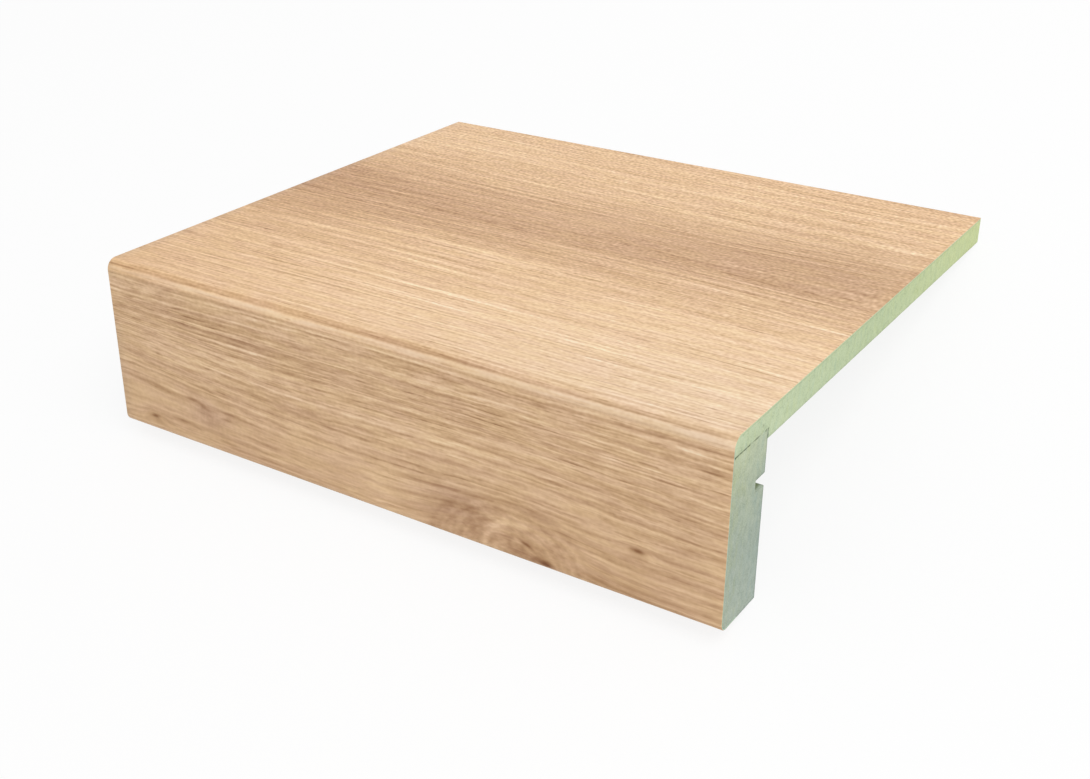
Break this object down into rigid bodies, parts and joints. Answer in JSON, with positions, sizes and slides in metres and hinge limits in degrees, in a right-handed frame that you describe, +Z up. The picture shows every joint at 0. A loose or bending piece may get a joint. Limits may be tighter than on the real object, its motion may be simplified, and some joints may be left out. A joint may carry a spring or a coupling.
{
  "type": "stair tread",
  "caption": "Overlay stair tread: thin green fibre board with an oak decor on top, rounded nose and a deep front strip with a groove along its back.",
  "frame": {"origin": "on the floor under the middle of the tread's box, as the tread rests unheld: leaning back on the strip's back foot edge and the board's rear lower edge", "axes": "+X along the nose, +Y from the nose to the back edge, +Z up; the tread's top leans back 15.8 degrees from level"},
  "size_m": [0.214, 0.1946, 0.0584],
  "materials": {
    "green_fibreboard": "bare cut fibre board dyed green, matt, finely mottled",
    "oak_decor": "matt printed oak decor, light natural tone with straight grain"
  },
  "bodies": {
    "root": {"tread_board": "green_fibreboard", "nosing_strip": "green_fibreboard", "decor_laminate": "oak_decor"}
  },
  "joints": []
}
